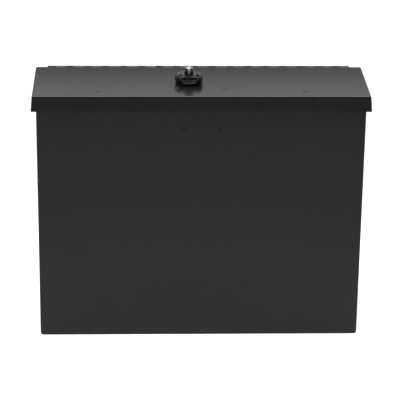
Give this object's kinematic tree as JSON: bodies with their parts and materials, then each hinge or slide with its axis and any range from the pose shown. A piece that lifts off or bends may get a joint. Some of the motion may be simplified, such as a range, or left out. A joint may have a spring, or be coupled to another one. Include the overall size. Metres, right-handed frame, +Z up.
{
  "type": "battery box",
  "caption": "Slim lockable steel box for batteries, with a piano-hinged lid, foam seal, key lock and cam, cable grommets and holes for bolting it down.",
  "frame": {"origin": "under the middle of the whole object, on the surface that the box stands on", "axes": "+X along the long side, +Y from the front to the hinge, +Z up"},
  "size_m": [0.463, 0.1384, 0.3812],
  "materials": {
    "black_coat": "smooth satin black powder coat",
    "lock_black": "semi-gloss black coated die casting",
    "chrome": "polished chrome plate",
    "zinc": "bright zinc plate",
    "seal_rubber": "matte closed-cell foam rubber",
    "mat_rubber": "matte ribbed rubber"
  },
  "bodies": {
    "case": {"front_panel": "black_coat", "end_and_floor_wrap": "black_coat", "back_panel": "black_coat", "striker_bracket": "black_coat", "striker_rivets": "black_coat", "hinge_body_leaf": "black_coat", "hinge_pin": "zinc", "cable_grommets": "seal_rubber", "floor_mat": "mat_rubber", "battery_pads": "seal_rubber"},
    "lid": {"lid_sheet": "black_coat", "hinge_lid_leaf": "black_coat", "lid_gasket": "seal_rubber", "lid_stiffener": "black_coat", "stiffener_rivets": "black_coat", "lock_doubler": "black_coat", "doubler_rivets": "black_coat", "lock_housing": "lock_black", "lock_seal": "mat_rubber", "lock_nut": "zinc"},
    "lock": {"key_plug": "chrome", "lock_cam": "zinc", "cam_washer": "zinc", "cam_screw": "zinc"}
  },
  "joints": [
    {"name": "lid_hinge", "type": "hinge", "parent": "case", "child": "lid", "pos_m": [0, 0.06603, 0.35585], "axis": [-1, 0, 0], "range_deg": [0, 250]},
    {"name": "lock_turn", "type": "hinge", "parent": "lid", "child": "lock", "pos_m": [-0.0163, -0.01018, 0.359], "axis": [0, 0, -1], "range_deg": [0, 90]}
  ]
}
